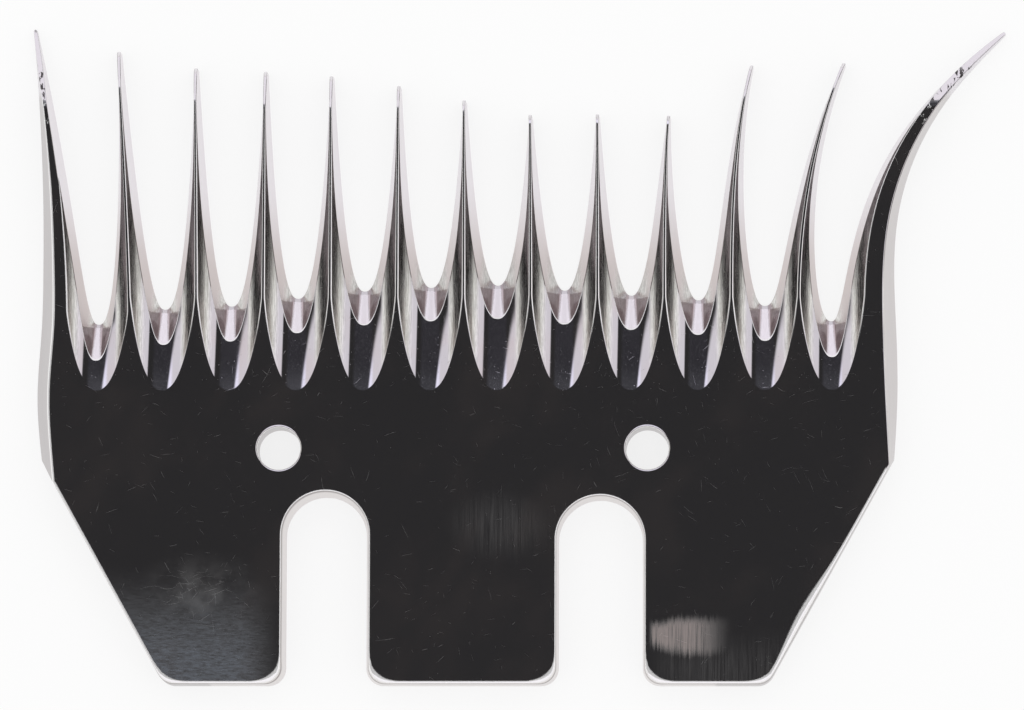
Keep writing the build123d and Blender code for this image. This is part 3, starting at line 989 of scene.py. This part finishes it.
def scratches(g, at):
    """Hairlines that cross the skin face every way, more on the left lug, and small pits."""
    left_lug = g.times(g.spot(at.mm, (-26, -14), (7.5, 6)), 0.06)
    scratch = 0.0
    for turn, wide, low in ((0.4, 16, 0.775), (1.25, 20, 0.775), (2.2, 14, 0.785), (2.9, 18, 0.77)):
        line = g.plus(g.grain(at.bent, (0.45, wide, 1), 1.0, 0.4, turn), left_lug)
        scratch = g.most(scratch, g.ramp(line, low, low + 0.05))
    scratch = g.times(scratch, g.ramp(at.up, 0.5, 0.8))

    # The pits lie closer together at the start of the flutes
    speck = g.node("ShaderNodeTexVoronoi", {"Vector": at.mm, "Scale": 2.6}, feature="F1").outputs
    pit = g.ramp(speck["Distance"], 0.14, 0.07)
    drawn = g.node("ShaderNodeSeparateColor", {0: speck["Color"]}).outputs[0]
    left_out = g.minus(0.97, g.times(g.window(at.y, (5.0, 7.0), (12.5, 14.5)), 0.45))
    pit = g.times(pit, g.math("GREATER_THAN", drawn, left_out), g.ramp(at.up, 0.8, 0.9))
    return g.most(scratch, g.times(pit, 0.8))


def hazes(g, at, flat):
    """Haze that buffing left on the plate, brushed up and down or across."""
    brushed = g.grain(at.mm, (9, 0.18, 1), 3.0, 0.65)
    across = g.grain(at.mm, (1.4, 6.5, 1), 4.0, 0.75, 0.06)
    cloud = g.noise(at.mm, 0.35, 3.0, 0.6)

    # A patch on the right lug, with ragged ends and narrower at its left
    streaky = g.plus(at.y, g.times(g.minus(brushed, 0.5), 2.2))
    waist = g.ramp(at.x, 18.0, 21.0)
    low, high = g.plus(streaky, g.times(waist, 0.9)), g.minus(streaky, g.times(waist, 0.5))
    patch = g.times(g.window(at.x, (17.8, 18.4), (21.5, 26.0)), g.ramp(low, -19.5, -18.1))
    patch = g.times(patch, g.ramp(high, -16.5, -17.5), g.ramp(brushed, 0.1, 0.6), flat)

    fine = g.ramp(brushed, 0.3, 0.75)
    left_low = g.times(g.ramp(at.x, -17, -22), g.ramp(at.y, -11, -21))
    right_low = g.times(g.ramp(at.x, 17.5, 21.0), g.ramp(at.y, -17, -21.5))
    return SimpleNamespace(
        patch=patch,
        veil=g.times(g.spot(at.mm, (-25, -14.5), (8, 5)), g.ramp(cloud, 0.3, 0.75), flat),
        left_low=g.times(left_low, g.ramp(across, 0.1, 0.8), flat),
        right_low=g.times(right_low, fine, flat),
        middle=g.times(g.spot(at.mm, (3.6, -7.5), (6, 4)), fine, flat),
    )


def sparkle(g, at, on):
    """Painted dark reflections in flecks and painted glint highlights near the tips of the two outer
    teeth.
    """
    end = g.times(on.lead, g.window(at.y, (31, 32), (36.5, 38)), g.ramp(at.up, 0.5, 0.7))
    fleck = g.ramp(g.grain(at.mm, (2.2, 0.9, 1), 3.0, 0.7), 0.53, 0.58)
    glint = g.ramp(g.grain(at.mm, (3.1, 1.3, 1), 3.0, 0.7), 0.57, 0.61)
    return g.times(end, fleck, on.tip), g.times(end, glint, g.ramp(on.tip, 1, 0), on.flat)


def ground_colour(g, at, marks):
    """Colour of the flutes' steep sides: grinding marks, with painted shade that darkens them where the
    teeth thin.
    """
    flank_shade = g.ramp(at.y, 13.0, 23.5, 0.0, 0.9)
    return g.mix(flank_shade, g.mix(marks, *GROUND), g.mix(marks, *GROUND_IN_SHADE))


def wall_colour(g, at):
    """Colour of the gaps' walls and, on the outline and in the holes, of the rim."""
    # Painted shade darkens the gaps' walls towards the throats
    gap_wall = g.mix(g.ramp(at.y, 17.0, 26.0), *GAP_WALL)
    # Painted light: the rim is paler in the slots and towards the right side
    in_slots = g.times(g.ramp(at.y, -2, -3), g.ramp(at.off, 24.5, 24))
    paler = g.most(in_slots, g.ramp(at.x, 20, 45, 0.0, 0.4))
    return g.mix(at.outer, gap_wall, g.mix(paler, *RIM_WALL))


def cup_colour(g, at, marks):
    """Colour of the cups behind the throats' edges, painted light where they face up and painted shade
    on their sides, with the grinding marks faint in it.
    """
    bowl = g.mix(g.ramp(at.across, 0.4, 0.52), *CUP_LIGHT_AND_SHADE)
    return g.mix(g.times(marks, 0.25), bowl, CUP_MARKS)


def steel():
    """Ground and polished tool steel with scratches and haze, and with painted light and shade:
    highlights and shade lines along its edges, reflections in the flutes, cups, walls and rim, and
    glints and dark flecks near the outer tips.
    """
    material = bpy.data.materials.new("polished_tool_steel")
    material.use_nodes = True
    g = Graph(material.node_tree)
    at = places(g)
    on = surfaces(g, at)
    marks = grinding(g, at)
    scratch = scratches(g, at)
    haze = hazes(g, at, on.flat)
    fleck, glint = sparkle(g, at, on)
    smear = g.ramp(g.grain(at.bent, (0.16, 0.1, 0.2), 3.0, 0.55, 0.5), 0.42, 0.7)
    speckle = g.ramp(g.noise(at.mm, 5.0, 2.0, 0.7), 0.5, 0.72)
    # Painted highlights along the edges where the edge mark is positive, painted shade lines where it is
    # negative
    highlit_edge = g.ramp(at.wear, 0.1, 0.7)
    shade_line = g.times(g.ramp(at.wear, -0.3, -0.9), g.ramp(at.y, 33, 30))

    rough = g.plus(g.plus(0.045, g.times(smear, 0.05)), g.times(scratch, 0.3))
    rough = g.blend(on.flank, rough, g.plus(0.11, g.times(marks, 0.07)))
    rough = g.blend(on.wall, rough, 0.32)
    rough = g.blend(on.cup, rough, 0.2)
    rough = g.blend(on.above_ground, 0.22, rough)

    # Each colour lies over the ones before it
    mouth = g.times(on.floor, g.ramp(at.z, THICKNESS - 0.9, THICKNESS - 0.2), 0.6)
    colour = POLISH
    for share, over in (
        (g.times(smear, 0.6), SMEAR),
        # painted reflection on the flutes' floors, brighter towards their mouths
        (on.floor, FLUTE_FLOOR),
        (mouth, FLUTE_MOUTH),
        # grinding marks on the flanks, with painted shade towards the tips
        (on.flank, ground_colour(g, at, marks)),
        (on.wall, wall_colour(g, at)),
        # painted light and shade in the cups
        (on.cup, cup_colour(g, at, marks)),
        (g.times(scratch, 0.35), SCRATCHED),
        (haze.patch, BUFFED_PATCH),
        # buffing haze on the lower left lug, with a painted bluish sheen
        (haze.left_low, HAZE_WITH_BLUE_SHEEN),
        # painted highlight along the edges
        (highlit_edge, EDGE_HIGHLIGHT),
        (on.tip, TIP_STEEL),
        # painted dark reflections in flecks near the outer tips
        (fleck, FLECK),
        # painted shade line
        (shade_line, SHADE_LINE),
        # painted glint highlights
        (glint, grey(0.9)),
    ):
        colour = g.mix(share, colour, over)

    # Fine scratching and haze scatter light: they take the place of part of the mirror. The painted edge
    # highlights and glints scatter too, so that they show white
    scatter = g.times(highlit_edge, 0.55)
    for share, amount in (
        (on.tip, 0.5), (haze.patch, 0.38), (haze.veil, 0.12),
        (haze.left_low, 0.22), (haze.right_low, 0.06), (haze.middle, 0.07),
    ):
        scatter = g.most(scatter, g.times(share, amount))
    scatter = g.plus(scatter, g.times(on.floor, speckle, 0.035))
    mouth = g.times(on.floor, g.ramp(at.z, THICKNESS - 0.7, THICKNESS - 0.1))
    scatter = g.plus(scatter, g.times(mouth, 0.018))
    scatter = g.most(scatter, g.times(glint, 0.8))

    height = g.minus(g.times(marks, on.flank, 0.003), g.times(scratch, 0.003))
    bump = g.node("ShaderNodeBump", {"Strength": 0.5, "Distance": 0.001, "Height": height})
    finish = {"Base Color": colour, "Metallic": g.minus(1.0, scatter), "Roughness": rough}
    bsdf = g.node("ShaderNodeBsdfPrincipled", {**finish, "Normal": bump.outputs[0]})
    g.node("ShaderNodeOutputMaterial", {0: bsdf.outputs[0]})
    return material


def studio():
    """White tent round the object, with a dark opening overhead for the camera."""
    world = bpy.data.worlds.new("studio")
    bpy.context.scene.world = world
    world.use_nodes = True
    g = Graph(world.node_tree)
    x, y, height = g.parts(g.node("ShaderNodeTexCoord").outputs["Generated"])
    slanted = g.minus(y, g.times(x, 0.535))
    opening = g.times(
        g.window(x, (-0.93, -0.86), (0.67, 0.72)),
        g.window(y, (-0.5, -0.44), (0.63, 0.68)),
        g.ramp(slanted, 0.8, 0.75),
        g.ramp(height, 0.3, 0.36),
    )
    tint = g.mix(g.ramp(g.size(x), 0.85, 0.95), (0.96, 0.92, 1.0, 1), (0.98, 0.98, 0.95, 1))
    colour = g.mix(opening, tint, (0.035, 0.034, 0.036, 1))
    colour = g.mix(g.ramp(height, 0.2, 0.1), colour, (0.45, 0.4, 0.38, 1))
    colour = g.mix(g.ramp(height, 0.05, 0.0), colour, grey(1.0))
    rays = g.node("ShaderNodeLightPath").outputs
    colour = g.mix(rays["Is Glossy Ray"], grey(1.0), colour)
    back = g.node("ShaderNodeBackground", {"Color": colour, "Strength": 1.0})
    g.node("ShaderNodeOutputWorld", {0: back.outputs[0]})


def table():
    """White table that keeps a soft shadow."""
    gap_below = 0.00002
    bpy.ops.mesh.primitive_plane_add(size=6, location=(0, 0, -gap_below))
    floor = bpy.context.object
    floor.name = "table"
    material = bpy.data.materials.new("white_table")
    material.use_nodes = True
    g = Graph(material.node_tree)
    matte = g.node("ShaderNodeBsdfDiffuse", {"Color": grey(0.9)})
    glow = g.node("ShaderNodeEmission", {"Color": grey(1.0), "Strength": 1.0})
    rays = g.node("ShaderNodeLightPath").outputs
    share = g.times(g.most(rays["Is Camera Ray"], rays["Is Glossy Ray"]), 0.8)
    blend = g.node("ShaderNodeMixShader", {0: share, 1: matte.outputs[0], 2: glow.outputs[0]})
    g.node("ShaderNodeOutputMaterial", {0: blend.outputs[0]})
    floor.data.materials.append(material)


def camera():
    """Camera above the skin face, a little towards the rear edge."""
    tilt, lean, roll = radians(6.712), radians(1.972), radians(0.166)
    distance = 744.27 * MM
    target = Vector((4.64, 9.18, THICKNESS / 2)) * MM
    back = Vector((sin(lean), -sin(tilt) * cos(lean), cos(tilt) * cos(lean)))
    right = Vector((0, 1, 0)).cross(back).normalized()
    up = back.cross(right)
    x_axis = cos(roll) * right + sin(roll) * up
    y_axis = cos(roll) * up - sin(roll) * right
    data = bpy.data.cameras.new("camera")
    data.sensor_width = 36
    data.lens = 271.7
    data.clip_start = 0.01
    data.clip_end = 50
    cam = bpy.data.objects.new("camera", data)
    bpy.context.scene.collection.objects.link(cam)
    turn = Matrix((x_axis, y_axis, back)).transposed().to_4x4()
    cam.matrix_world = Matrix.Translation(target + back * distance) @ turn
    bpy.context.scene.camera = cam


blade = bpy.data.objects.new("comb_blade", comb_mesh())
bpy.context.scene.collection.objects.link(blade)
blade.data.materials.append(steel())
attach(blade, "root")
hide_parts("shearing_comb")
studio()
table()
camera()
bpy.context.scene.view_settings.view_transform = "Standard"
